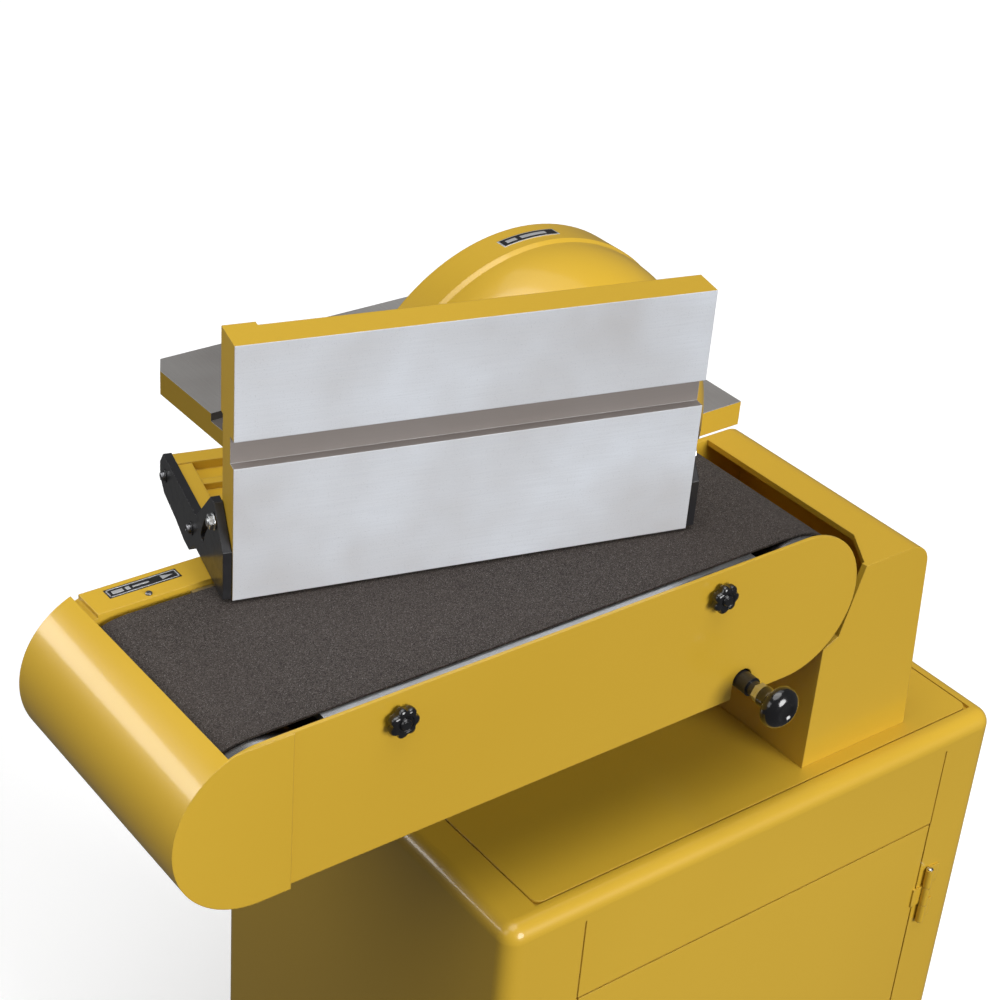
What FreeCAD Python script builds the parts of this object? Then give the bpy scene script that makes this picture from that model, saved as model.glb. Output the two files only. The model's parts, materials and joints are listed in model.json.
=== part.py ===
"""Belt and disc grinder on a sheet-steel cabinet, as separate solids.

Millimetres.  +X runs towards the drive end of the belt arm, +Y to the rear
(where the disc faces) and +Z up.  The origin is on the floor, at the centre of
the cabinet's floor bolts.
"""
import FreeCAD, Part
import math
import os

Vector = FreeCAD.Vector
X_AXIS = Vector(1, 0, 0)
Y_AXIS = Vector(0, 1, 0)
Z_AXIS = Vector(0, 0, 1)
GAP = 0.5                      # working gap between parts that move past each other
RUNNING = 0.05                 # radial clearance of a running fit

# Cabinet
CABINET_LEFT = -254.0
CABINET_RIGHT = 241.0
CABINET_FRONT = -202.0
CABINET_BACK = 175.0
CABINET_H = 760.0
SHEET = 3.0
CORNER_R = 14.0
BASE_T = 5.0
FLOOR_BOLT_X = 390.0
FLOOR_BOLT_Y = 300.0
FLOOR_BOLT_R = 6.0
TOP_LEFT = -219.0              # opening for the top plate
TOP_RIGHT = 226.0
TOP_FRONT = -186.0
TOP_BACK = 162.0
TOP_LEDGE = 12.0               # width of the ledge the top plate rests on
DOOR_FOLD = 10.0               # set-back of the door's folded rim
DOOR_LEFT = -184.0
DOOR_RIGHT = 187.0
DOOR_BOTTOM = 92.0
DOOR_TOP = 667.0
SEAM = 1.2
SEAM_TOP = 741.0
HINGE_X = 196.0
HINGE_R = 3.5
HINGE_PIN_R = 1.6
HINGE_LEAF = 13.0
HINGE_CENTRES = (175.0, 588.0)
HINGE_LENGTH = 56.0
LATCH_Z = 400.0
LATCH_STEM_R = 6.0
LATCH_REACH = 18.0             # from the latch's axis to the end of its cam
LOUVRES = 8
LOUVRE_LEFT = -90.0
LOUVRE_RIGHT = 112.0
LOUVRE_BOTTOM = 360.0
LOUVRE_PITCH = 22.0
LOUVRE_H = 7.0
SHELF_FRONT = -172.0
SHELF_BACK = 62.0
SHELF_TOP = 341.0
SHELF_T = 5.0

# Switch box on the cabinet's right side
SWITCH_Y = 95.0
SWITCH_Z = 650.0
SWITCH_DEPTH = 42.0
START_Z = 675.0
START_R = 12.0
STOP_Z = 625.0
STOP_R = 15.0
LEAD_R = 4.5
LEAD_HOLE_R = 9.0
GLAND_OUT = 15.0               # from the cabinet side to the gland's axis

# Spindle line: axis along Y
SPINDLE_X = 11.0
SPINDLE_Z = 923.0
SHAFT_R = 12.7
DRUM_R = 52.5
DRUM_SPAN = 448.7              # drive axis to idler axis
IDLER_X = SPINDLE_X - DRUM_SPAN
BELT_FRONT = -160.0
BELT_BACK = -8.0
DRUM_FRONT = -168.0             # the drums are a little wider than the belt
DRUM_BACK = -6.0
BELT_INNER_R = 53.0
BELT_T = 1.6
TENSION_TRAVEL = 6.0
LEVER_X = -365.0               # pivot of the belt-tension lever
LEVER_LENGTH = 40.0

# Belt arm
COVER_FRONT = -175.0
COVER_T = 2.5
COVER_R = 59.4
END_COVER_R = 62.2
END_COVER_T = 1.5
END_COVER_BACK = 24.5
END_COVER_SEAM = -416.0
CASTING_R = 57.5
CASTING_FRONT = -3.0
CASTING_BACK = 24.0
CASTING_WALL = 6.0
HUB_BACK = 29.0
QUILL_R = 38.0
PLATEN_T = 6.0
POST_XS = (-339.0, -70.5)
POST_Z = SPINDLE_Z + 40.5
POST_R = 6.0
KNOB_STUD_R = 3.0
LOCK_X = SPINDLE_X - 46.0
LOCK_Z = SPINDLE_Z - 44.5
LOCK_ROD_R = 5.0

# Fence, built about its swivel pivot and then turned
SWIVEL_X = -319.8
SWIVEL_Y = 15.6
SWIVEL_R = 5.0
FENCE_YAW = -14.5
FENCE_BOTTOM = 980.0
FENCE_LEFT = -40.0             # along the fence, from the pivot
FENCE_LENGTH = 331.5
FENCE_FACE = -59.9             # the face lies this far in front of the pivot
FENCE_H = 186.0
FENCE_T = 25.0
FENCE_SKIN = 12.0
FENCE_TOE = 2.0                # flat width of the lower edge, ahead of the underside's slope
FENCE_HEEL = 30.0              # height where that slope meets the back
TILT_R = 54.0                  # radius of the tilt slots about the fence's lower edge
TILT_TOP_ANGLE = 67.0
TILT_RANGE = 45.0
TILT_STUD_R = 3.0
FENCE_SLOT_LOW = 99.0
FENCE_SLOT_W = 19.5
FENCE_SLOT_DEPTH = 8.0

# Disc, its guard and its table
DISC_R = 152.4
DISC_FRONT = 158.0
DISC_BACK = 173.0
ABRASIVE_T = 2.0
GUARD_R = 158.0
GUARD_BACK = 181.0
GUARD_BAND = 146.0
GUARD_FRONT = 44.5
GUARD_NOSE_R = 76.0
GUARD_WALL = 4.0
TABLE_LEFT = -141.0
TABLE_RIGHT = 291.0
TABLE_FRONT = 178.0
TABLE_BACK = 506.0
TABLE_TOP = 851.0
TABLE_T = 24.0
TABLE_SKIN = 10.0
MITRE_Y = 385.0
MITRE_W = 19.5
MITRE_DEPTH = 8.0
TILT_Y = 190.0
TILT_Z = 813.0
TRUNNION_T = 8.0
TRUNNION_FACES = (-120.0, 220.0)   # planes between each bracket and its trunnion plate
CLAMP_R = 36.0
CLAMP_ANGLE = -70.0
CLAMP_STUD_R = 4.0

# Drive
PULLEY_FRONT = 67.0
PULLEY_BACK = 95.0
SPINDLE_PULLEY_R = 44.0
MOTOR_PULLEY_R = 40.0
MOTOR_Z = 430.0
MOTOR_R = 82.0
MOTOR_FRONT = -160.0
MOTOR_BACK = 50.0
VBELT_W = 13.0
VBELT_T = 8.0
PEDESTAL_TOP = 863.0
PEDESTAL_FRONT = 44.0
PEDESTAL_BACK = 125.0
PEDESTAL_HALF = 62.0

# Housing beside the arm's drive end
HOUSING_LEFT = 51.0
HOUSING_RIGHT = 150.2          # at the top; the wall leans out to HOUSING_FOOT
HOUSING_FOOT = 163.5
HOUSING_TOP = 935.0
HOUSING_FRONT = -172.0
HOUSING_BACK = 36.0
HOUSING_WALL = 5.0


# ---------------------------------------------------------------- helpers
def box(x0, x1, y0, y1, z0, z1):
    return Part.makeBox(x1 - x0, y1 - y0, z1 - z0, Vector(x0, y0, z0))


def rod_x(y, z, r, x0, x1):
    return Part.makeCylinder(r, x1 - x0, Vector(x0, y, z), X_AXIS)


def rod_y(x, z, r, y0, y1):
    return Part.makeCylinder(r, y1 - y0, Vector(x, y0, z), Y_AXIS)


def rod_z(x, y, r, z0, z1):
    return Part.makeCylinder(r, z1 - z0, Vector(x, y, z0), Z_AXIS)


def ring_y(x, z, r_out, r_in, y0, y1):
    return rod_y(x, z, r_out, y0, y1).cut(rod_y(x, z, r_in, y0 - 1, y1 + 1))


def fuse(*shapes):
    whole = shapes[0]
    for shape in shapes[1:]:
        whole = whole.fuse(shape)
    return whole.removeSplitter()


def cut(shape, *tools):
    for tool in tools:
        shape = shape.cut(tool)
    return shape


def prism(points, direction):
    """A closed outline of 3-D points, pushed along a vector."""
    return Part.Face(Part.makePolygon(points + points[:1])).extrude(direction)


def prism_x(yz, x0, x1):
    return prism([Vector(x0, y, z) for y, z in yz], Vector(x1 - x0, 0, 0))


def prism_y(xz, y0, y1):
    return prism([Vector(x, y0, z) for x, z in xz], Vector(0, y1 - y0, 0))


def prism_z(xy, z0, z1):
    return prism([Vector(x, y, z0) for x, y in xy], Vector(0, 0, z1 - z0))


def fillet(shape, radius, wanted):
    edges = [edge for edge in shape.Edges if wanted(edge)]
    return shape.makeFillet(radius, edges)


def runs_along(edge, axis):
    if not isinstance(edge.Curve, Part.Line):
        return False
    return abs(edge.tangentAt(edge.FirstParameter).dot(axis)) > 0.999


def stadium_y(x0, x1, z, r, y0, y1):
    """A slot-shaped plate round two axes along Y."""
    body = box(x0, x1, y0, y1, z - r, z + r)
    return fuse(body, rod_y(x0, z, r, y0, y1), rod_y(x1, z, r, y0, y1))


def polar(centre, r, degrees):
    a = math.radians(degrees)
    return centre[0] + r * math.cos(a), centre[1] + r * math.sin(a)


def sector(centre, r_in, r_out, a0, a1, place, push):
    """A ring sector; place turns two flat coordinates into a 3-D point."""
    mid = (a0 + a1) / 2

    def at(r, a):
        return place(*polar(centre, r, a))

    edges = [
        Part.Arc(at(r_out, a0), at(r_out, mid), at(r_out, a1)).toShape(),
        Part.LineSegment(at(r_out, a1), at(r_in, a1)).toShape(),
        Part.Arc(at(r_in, a1), at(r_in, mid), at(r_in, a0)).toShape(),
        Part.LineSegment(at(r_in, a0), at(r_out, a0)).toShape(),
    ]
    return Part.Face(Part.Wire(edges)).extrude(push)


def sector_y(x, z, r_in, r_out, a0, a1, y0, y1):
    return sector((x, z), r_in, r_out, a0, a1, lambda p, q: Vector(p, y0, q), Vector(0, y1 - y0, 0))


def sector_x(y, z, r_in, r_out, a0, a1, x0, x1):
    return sector((y, z), r_in, r_out, a0, a1, lambda p, q: Vector(x0, p, q), Vector(x1 - x0, 0, 0))


def arc_slot_y(x, z, r, half, a0, a1, y0, y1):
    ends = [rod_y(*polar((x, z), r, a), half, y0, y1) for a in (a0, a1)]
    return fuse(sector_y(x, z, r - half, r + half, a0, a1, y0, y1), *ends)


def arc_slot_x(y, z, r, half, a0, a1, x0, x1):
    ends = [rod_x(*polar((y, z), r, a), half, x0, x1) for a in (a0, a1)]
    return fuse(sector_x(y, z, r - half, r + half, a0, a1, x0, x1), *ends)


def arc_slot_z(r, half, a0, a1, z0, z1):
    """An arc slot about the Z axis."""
    ends = [rod_z(*polar((0, 0), r, a), half, z0, z1) for a in (a0, a1)]
    arc = sector((0, 0), r - half, r + half, a0, a1, lambda p, q: Vector(p, q, z0), Vector(0, 0, z1 - z0))
    return fuse(arc, *ends)


def hexagon_y(x, z, across, y0, y1):
    r = across / math.sqrt(3)
    return prism_y([polar((x, z), r, a) for a in range(0, 360, 60)], y0, y1)


def hexagon_x(y, z, across, x0, x1):
    r = across / math.sqrt(3)
    return prism_x([polar((y, z), r, a) for a in range(0, 360, 60)], x0, x1)


def hexagon_z(x, y, across, z0, z1):
    r = across / math.sqrt(3)
    return prism_z([polar((x, y), r, a) for a in range(0, 360, 60)], z0, z1)


def revolve_y(profile, x=SPINDLE_X, z=SPINDLE_Z):
    """Turn (radius, y) edges about an axis along Y.  An item is a point or an arc's mid point."""
    edges = []
    for start, mid, end in profile:
        p = Vector(x + start[0], start[1], z)
        q = Vector(x + end[0], end[1], z)
        if mid is None:
            edges.append(Part.LineSegment(p, q).toShape())
        else:
            edges.append(Part.Arc(p, Vector(x + mid[0], mid[1], z), q).toShape())
    face = Part.Face(Part.Wire(edges))
    return face.revolve(Vector(x, 0, z), Y_AXIS, 360)


def chain(points):
    """Straight profile pieces between points, closed."""
    return [(p, None, q) for p, q in zip(points, points[1:] + points[:1])]


def star_knob(r, thickness, lobes=7):
    """A lobed knob about Z, its seat at z = 0."""
    body = Part.makeCylinder(r * 0.86, thickness)
    for i in range(lobes):
        x, y = polar((0, 0), r * 0.80, 360 / lobes * i)
        body = body.fuse(rod_z(x, y, r * 0.24, 0, thickness))
    body = body.removeSplitter()
    boss = Part.makeCone(r * 0.5, r * 0.38, thickness * 0.45, Vector(0, 0, thickness))
    return fuse(body, boss)


def turned(shape, axis, degrees):
    shape = shape.copy()
    shape.rotate(Vector(0, 0, 0), axis, degrees)
    return shape


def moved(shape, x, y, z):
    shape = shape.copy()
    shape.translate(Vector(x, y, z))
    return shape


def fence_place(shape):
    """From the fence's own frame (pivot at 0, z up from its lower edge) to the machine's."""
    return moved(turned(shape, Z_AXIS, FENCE_YAW), SWIVEL_X, SWIVEL_Y, FENCE_BOTTOM)


def export(name, *solids):
    shape = solids[0] if len(solids) == 1 else Part.makeCompound(list(solids))
    if shape.ShapeType == "Compound" and len(shape.Solids) == 1:
        shape = shape.Solids[0]
    shape.exportStep("parts/" + name + ".step")


# ---------------------------------------------------------------- cabinet
def make_cabinet():
    left, right, front, back = CABINET_LEFT, CABINET_RIGHT, CABINET_FRONT, CABINET_BACK
    top = CABINET_H
    outer = box(left, right, front, back, BASE_T, top)
    outer = fillet(outer, CORNER_R, lambda e: runs_along(e, Z_AXIS))
    outer = fillet(outer, CORNER_R - 1, lambda e: e.BoundBox.ZMin > top - 0.1)
    inner = box(left + SHEET, right - SHEET, front + SHEET, back - SHEET, 0, top - SHEET)
    inner = fillet(inner, CORNER_R - SHEET, lambda e: runs_along(e, Z_AXIS))
    inner = fillet(inner, CORNER_R - SHEET - 1, lambda e: e.BoundBox.ZMin > top - SHEET - 0.1)
    shell = cut(outer, inner)
    # the top plate drops into an opening with a narrow ledge below it
    shell = cut(shell, box(TOP_LEFT, TOP_RIGHT, TOP_FRONT, TOP_BACK, top - SHEET, top + 1))
    ledge = box(left + SHEET, right - SHEET, front + SHEET, back - SHEET, top - 2 * SHEET, top - SHEET)
    ledge = ledge.common(inner)
    ledge = cut(ledge, box(TOP_LEFT + TOP_LEDGE, TOP_RIGHT - TOP_LEDGE,
                           TOP_FRONT + TOP_LEDGE, TOP_BACK - TOP_LEDGE, 0, top))
    # the door opening, and the seams of the front panel above and below it
    door_hole = box(DOOR_LEFT, DOOR_RIGHT, front - 1, front + SHEET + 1, DOOR_BOTTOM, DOOR_TOP)
    shell = cut(shell, door_hole)
    for x in (DOOR_LEFT, DOOR_RIGHT):
        for z0, z1 in ((BASE_T - 1, DOOR_BOTTOM), (DOOR_TOP - 1, SEAM_TOP)):
            shell = cut(shell, box(x - SEAM / 2, x + SEAM / 2, front - 1, front + 1, z0, z1))
    # a folded return round the door opening
    frame = box(DOOR_LEFT - 14, DOOR_RIGHT + 14, front + SHEET, front + 5, DOOR_BOTTOM - 14, DOOR_TOP + 14)
    frame = cut(frame, box(DOOR_LEFT + 8, DOOR_RIGHT - 8, front, 0, DOOR_BOTTOM + 8, DOOR_TOP - 8))
    # cooling louvres in the rear wall and the hole of the switch lead on the right
    for i in range(LOUVRES):
        z = LOUVRE_BOTTOM + LOUVRE_PITCH * i
        shell = cut(shell, box(LOUVRE_LEFT, LOUVRE_RIGHT, back - SHEET - 1, back + 1, z, z + LOUVRE_H))
    shell = cut(shell, rod_x(SWITCH_Y, SWITCH_Z, LEAD_HOLE_R, right - SHEET - 1, right + 1))
    export("cabinet_shell", fuse(shell, frame, ledge))

    plate = box(TOP_LEFT + SEAM, TOP_RIGHT - SEAM, TOP_FRONT + SEAM, TOP_BACK - SEAM, top - SHEET, top)
    plate = fillet(plate, 8, lambda e: runs_along(e, Z_AXIS))
    belt_hole = box(SPINDLE_X - 52, SPINDLE_X + 52, PULLEY_FRONT - 4, PULLEY_BACK + 4, top - 60, top + 40)
    export("cabinet_top_plate", cut(plate, belt_hole))

    base = box(left, right, front, back, 0, BASE_T)
    base = fillet(base, CORNER_R, lambda e: runs_along(e, Z_AXIS))
    for x in (-FLOOR_BOLT_X / 2, FLOOR_BOLT_X / 2):
        for y in (-FLOOR_BOLT_Y / 2, FLOOR_BOLT_Y / 2):
            base = cut(base, rod_z(x, y, FLOOR_BOLT_R, -1, BASE_T + 1))
    export("base_plate", base)

    shelf = box(left + SHEET, right - SHEET, SHELF_FRONT, SHELF_BACK, SHELF_TOP - SHELF_T, SHELF_TOP)
    for y in (SHELF_FRONT, SHELF_BACK - SHELF_T):
        lip = box(left + SHEET, right - SHEET, y, y + SHELF_T, SHELF_TOP - 30, SHELF_TOP - SHELF_T)
        shelf = fuse(shelf, lip)
    export("motor_shelf", shelf)


def make_door():
    front = CABINET_FRONT
    gap = 1.5
    fold = DOOR_FOLD
    panel = box(DOOR_LEFT + gap, DOOR_RIGHT - gap, front, front + 2, DOOR_BOTTOM + gap, DOOR_TOP - gap)
    returns = box(DOOR_LEFT + fold, DOOR_RIGHT - fold, front + 2, front + 14,
                  DOOR_BOTTOM + fold, DOOR_TOP - fold)
    hollow = box(DOOR_LEFT + fold + 2, DOOR_RIGHT - fold - 2, front + 1, front + 15,
                 DOOR_BOTTOM + fold + 2, DOOR_TOP - fold - 2)
    door = fuse(panel, cut(returns, hollow))
    latch_x = DOOR_LEFT + 30
    latch_z = LATCH_Z
    door = cut(door, rod_y(latch_x, latch_z, LATCH_STEM_R + RUNNING, front - 1, front + 3))
    handle = fuse(rod_y(latch_x, latch_z, 15, front - 5, front - 0.2),
                  box(latch_x - 6, latch_x + 6, front - 22, front - 5, latch_z - 22, latch_z + 22))
    handle = fillet(handle, 2.5, lambda e: e.BoundBox.YMax < front - 21)
    stem = rod_y(latch_x, latch_z, LATCH_STEM_R, front - 0.2, front + 20)
    cam = box(latch_x - LATCH_REACH, latch_x + 8, front + 16, front + 20, latch_z - 8, latch_z + 8)
    export("door_latch", fuse(handle, stem, cam))

    hinge_y = front - HINGE_R
    third = HINGE_LENGTH / 3
    end_gap = 0.2
    fixed = []
    swinging = []
    pins = []
    for centre in HINGE_CENTRES:
        low = centre - HINGE_LENGTH / 2
        pin = rod_z(HINGE_X, hinge_y, HINGE_PIN_R, low, low + HINGE_LENGTH)
        pins.append(pin)
        for z in (low, low + 2 * third):
            knuckle = rod_z(HINGE_X, hinge_y, HINGE_R, z + end_gap, z + third - end_gap)
            tab = box(HINGE_X, HINGE_X + HINGE_LEAF, front - 1.5, front, z + end_gap, z + third - end_gap)
            fixed.append(cut(fuse(knuckle, tab), pin))
        z0 = low + third + end_gap
        z1 = low + 2 * third - end_gap
        leaf = fuse(rod_z(HINGE_X, hinge_y, HINGE_R, z0, z1),
                    box(HINGE_X - HINGE_LEAF, HINGE_X, front - 1.5, front, z0, z1))
        bore = rod_z(HINGE_X, hinge_y, HINGE_PIN_R + RUNNING, low, low + HINGE_LENGTH)
        swinging.append(cut(leaf, bore))
    export("cabinet_door", fuse(door, *swinging))
    export("hinge_knuckles", *fixed, *pins)


def make_switch():
    side = CABINET_RIGHT
    y = SWITCH_Y
    low = SWITCH_Z - 54
    shell = box(side, side + SWITCH_DEPTH, y - 35, y + 35, low, SWITCH_Z + 54)
    shell = fillet(shell, 5, lambda e: runs_along(e, X_AXIS))
    shell = cut(shell, box(side + 3, side + 26, y - 32, y + 32, low + 3, SWITCH_Z + 51))
    for z, r in ((START_Z, START_R), (STOP_Z, STOP_R)):
        shell = cut(shell, rod_x(y, z, r, side + 30, side + SWITCH_DEPTH + 1))
    gland_x = side + GLAND_OUT
    back_hole = rod_x(y, SWITCH_Z, LEAD_HOLE_R, side - 1, side + 12)
    lead_hole = rod_z(gland_x, y, LEAD_R, low - 6, low + 4)
    export("switch_box", cut(shell, back_hole, lead_hole))
    for name, z, r, proud in (("start_button", START_Z, START_R, 3), ("stop_button", STOP_Z, STOP_R, 7)):
        end = side + SWITCH_DEPTH + proud
        stem = rod_x(y, z, r - 0.3, side + 34.5, end)
        export(name, fillet(stem, 1.5, lambda e: e.BoundBox.XMin > end - 1))
    gland = fuse(rod_z(gland_x, y, 11, low - 8, low), hexagon_z(gland_x, y, 22, low - 16, low - 8),
                 Part.makeCone(6.5, 9, 12, Vector(gland_x, y, low - 28)))
    export("cable_gland", cut(gland, rod_z(gland_x, y, LEAD_R, low - 30, low + 1)))


# ---------------------------------------------------------------- spindle and drive
def make_spindle_support():
    x, z = SPINDLE_X, SPINDLE_Z
    left, right = x - PEDESTAL_HALF, x + PEDESTAL_HALF
    body = box(left, right, PEDESTAL_FRONT, PEDESTAL_BACK, CABINET_H, PEDESTAL_TOP)
    inside = box(left + 10, right - 10, PULLEY_FRONT - 3, PULLEY_BACK + 3, CABINET_H - 1, PEDESTAL_TOP + 1)
    foot = box(left - 18, right + 18, PEDESTAL_FRONT, PEDESTAL_BACK, CABINET_H, CABINET_H + 10)
    export("pedestal", cut(fuse(body, foot), inside))
    bolts = []
    for bx in (left - 9, right + 9):
        for by in (PEDESTAL_FRONT + 14, PEDESTAL_BACK - 14):
            bolts.append(hexagon_z(bx, by, 13, CABINET_H + 10, CABINET_H + 16))
    export("frame_bolts", *bolts, *housing_bolts(), *cover_screws())

    def block(y0, y1):
        saddle = box(x - 34, x + 34, y0, y1, PEDESTAL_TOP, z)
        return fuse(saddle, rod_y(x, z, 44, y0, y1))

    front = fuse(block(44, 64), rod_y(x, z, QUILL_R, -2, 44))
    front = cut(front, rod_y(x, z, 17, -3, 65), rod_y(x, z, 26, -3, 13), rod_y(x, z, 26, 49, 65))
    rear = cut(block(101, 125), rod_y(x, z, 17, 100, 126), rod_y(x, z, 26, 100, 116))
    export("front_bearing_block", front)
    export("rear_bearing_block", rear)
    rings = []
    for y in (-2, 49, 101):
        ring = ring_y(x, z, 26, SHAFT_R + RUNNING, y, y + 15)
        for side_y in (y, y + 14.2):
            ring = cut(ring, ring_y(x, z, 22, 17, side_y, side_y + 0.8))
        rings.append(ring)
    export("spindle_bearings", *rings)

    lock_radius = math.hypot(LOCK_X - x, LOCK_Z - z)
    rest_angle = 180 + math.degrees(math.atan2(z - LOCK_Z, x - LOCK_X))
    plate = fuse(rod_y(x, z, 50, 30.5, 36.5),
                 sector_y(x, z, 20, lock_radius + 17,
                          rest_angle - 101, rest_angle + 11, 30.5, 36.5))
    plate = cut(plate, rod_y(x, z, QUILL_R, 30, 37))
    slot = arc_slot_y(x, z, lock_radius, LOCK_ROD_R + 1.2, rest_angle - 90.5, rest_angle + 0.5, 30, 37)
    export("lock_quadrant", cut(plate, slot))


def pulley(x, z, r, bore, groove_ys):
    body = rod_y(x, z, r, PULLEY_FRONT, PULLEY_BACK)
    for y in groove_ys:
        outline = [(r + 1, y - 7.2), (r + 1, y + 7.2), (r - 11, y + 4), (r - 11, y - 4)]
        groove = revolve_y(chain(outline), x, z)
        body = cut(body, groove)
    recess = ring_y(x, z, r - 15, bore + 9, PULLEY_BACK - 7, PULLEY_BACK + 1)
    return cut(body, rod_y(x, z, bore, PULLEY_FRONT - 1, PULLEY_BACK + 1), recess)


def drum(x, bore):
    """A fabricated drum: rim, an end web behind each recess, and hub."""
    front, back = DRUM_FRONT, DRUM_BACK
    rim = ring_y(x, SPINDLE_Z, DRUM_R, DRUM_R - 7, front, back)
    webs = [rod_y(x, SPINDLE_Z, DRUM_R - 6, y, y + 10) for y in (front + 12, back - 22)]
    hub = rod_y(x, SPINDLE_Z, 22, front + 4, back - 4)
    return cut(fuse(rim, hub, *webs), rod_y(x, SPINDLE_Z, bore, front, back))


def make_drive():
    x, z = SPINDLE_X, SPINDLE_Z
    middle = (PULLEY_FRONT + PULLEY_BACK) / 2
    shaft = rod_y(x, z, SHAFT_R, DRUM_FRONT + 2, DISC_FRONT)
    export("spindle_shaft", shaft)
    export("drive_drum", drum(x, SHAFT_R))
    export("spindle_pulley", pulley(x, z, SPINDLE_PULLEY_R, SHAFT_R, (middle,)))

    disc = fuse(rod_y(x, z, DISC_R, DISC_FRONT, DISC_BACK), rod_y(x, z, 30, 130, DISC_FRONT))
    disc = cut(disc, rod_y(x, z, SHAFT_R, 129, DISC_FRONT))
    export("disc_plate", disc)
    export("abrasive_disc", rod_y(x, z, DISC_R - 0.5, DISC_BACK, DISC_BACK + ABRASIVE_T))

    body = rod_y(x, MOTOR_Z, MOTOR_R, MOTOR_FRONT + 26, MOTOR_BACK - 22)
    for i in range(24):
        fx, fz = polar((x, MOTOR_Z), MOTOR_R, 15 * i)
        body = cut(body, rod_y(fx, fz, 3.2, MOTOR_FRONT + 30, MOTOR_BACK - 26))
    bells = fuse(rod_y(x, MOTOR_Z, MOTOR_R - 6, MOTOR_FRONT, MOTOR_FRONT + 26),
                 rod_y(x, MOTOR_Z, MOTOR_R - 8, MOTOR_BACK - 22, MOTOR_BACK))
    foot = box(x - 70, x + 70, -100, 0, 341, 349)
    saddle = box(x - 48, x + 48, -95, -5, 349, 380)
    lead_box = box(x + 60, x + 100, -85, -25, MOTOR_Z + 10, MOTOR_Z + 60)
    chamber = rod_y(x, MOTOR_Z, 30, MOTOR_FRONT + 8, MOTOR_BACK - 8)
    shaft_bore = rod_y(x, MOTOR_Z, 11 + RUNNING, MOTOR_FRONT + 7, MOTOR_BACK + 1)
    housing = cut(fuse(body, bells, foot, saddle, lead_box), chamber, shaft_bore)
    export("motor_housing", housing)
    rotor = fuse(rod_y(x, MOTOR_Z, 11, MOTOR_FRONT + 9, PULLEY_BACK + 3),
                 rod_y(x, MOTOR_Z, 29, MOTOR_FRONT + 30, MOTOR_BACK - 30))
    export("motor_rotor", rotor)
    export("motor_pulley", pulley(x, MOTOR_Z, MOTOR_PULLEY_R, 11, (middle,)))

    make_v_belt(middle)


def make_v_belt(middle):
    """A trapezoid section carried round both pulleys and along the two straight runs."""
    x, z = SPINDLE_X, SPINDLE_Z
    proud = 0.6
    top_r = SPINDLE_PULLEY_R + proud
    low_r = MOTOR_PULLEY_R + proud
    lean = math.degrees(math.asin((top_r - low_r) / (z - MOTOR_Z)))
    outer_half = VBELT_W / 2 - 0.1
    inner_half = outer_half - 2

    def section(centre_z, r, angle):
        corners = []
        for depth, y in ((0, -outer_half), (0, outer_half), (VBELT_T, inner_half), (VBELT_T, -inner_half)):
            px, pz = polar((x, centre_z), r - depth, angle)
            corners.append(Vector(px, middle + y, pz))
        return Part.Face(Part.makePolygon(corners + corners[:1]))

    def tangent_point(centre_z, r, angle):
        px, pz = polar((x, centre_z), r, angle)
        return Vector(px, 0, pz)

    counter = Vector(0, -1, 0)
    pieces = [section(z, top_r, -lean).revolve(Vector(x, 0, z), counter, 180 + 2 * lean),
              section(MOTOR_Z, low_r, 180 + lean).revolve(Vector(x, 0, MOTOR_Z), counter, 180 - 2 * lean)]
    for angle in (-lean, 180 + lean):
        run = tangent_point(MOTOR_Z, low_r, angle) - tangent_point(z, top_r, angle)
        pieces.append(section(z, top_r, angle).extrude(run))
    export("v_belt", fuse(*pieces))


# ---------------------------------------------------------------- housing and guards
def housing_bolts():
    """The four bolts inside the housing that hold it to the cabinet."""
    bolts = []
    for x in (HOUSING_LEFT + 20, HOUSING_RIGHT - 20):
        for y in (HOUSING_FRONT + 30, HOUSING_BACK - 30):
            bolts.append(hexagon_z(x, y, 13, CABINET_H, CABINET_H + 6))
    return bolts


def cover_screws():
    """The three screws that hold the plate over the lower part of the disc."""
    screws = []
    for angle in (248, 270, 292):
        x, z = polar((SPINDLE_X, SPINDLE_Z), GUARD_R - 10, angle)
        screws.append(rod_y(x, z, 3.5, GUARD_BACK + 3, GUARD_BACK + 5))
    return screws


def make_housing():
    left, right, top = HOUSING_LEFT, HOUSING_RIGHT, HOUSING_TOP
    front, back, wall = HOUSING_FRONT, HOUSING_BACK, HOUSING_WALL
    corner = 20
    clear_z = 871
    outline = [(left, CABINET_H), (left, clear_z), (left + 14.4, clear_z + 7), (left + 31.7, top),
               (right, top), (HOUSING_FOOT, CABINET_H)]
    inside = [(left + wall, CABINET_H - 1), (left + wall, top - wall), (right - wall, top - wall),
              (HOUSING_FOOT - wall, CABINET_H - 1)]

    def top_right(edge, depth):
        bounds = edge.BoundBox
        return runs_along(edge, Y_AXIS) and bounds.XMin > right - depth - 1 and bounds.ZMin > top - depth - 1

    outer = fillet(prism_y(outline, front, back), corner, lambda e: top_right(e, 0))
    inner = fillet(prism_y(inside, front + wall, back - wall), corner - wall, lambda e: top_right(e, wall))
    shell = cut(outer, inner)
    # the side towards the belt is open above the low wall, and the top is cut back in plan
    inner_edge = 106
    side_opening = box(left - 1, left + 60, front + wall, back - wall, clear_z, top - wall)
    top_opening = prism_z([(0, front + wall), (0, back - wall), (inner_edge, back - wall),
                           (inner_edge, front + 37), (left + 34, front + wall)], top - wall - 1, top + 1)
    shell = cut(shell, side_opening, top_opening)
    export("drive_housing", shell)


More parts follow.
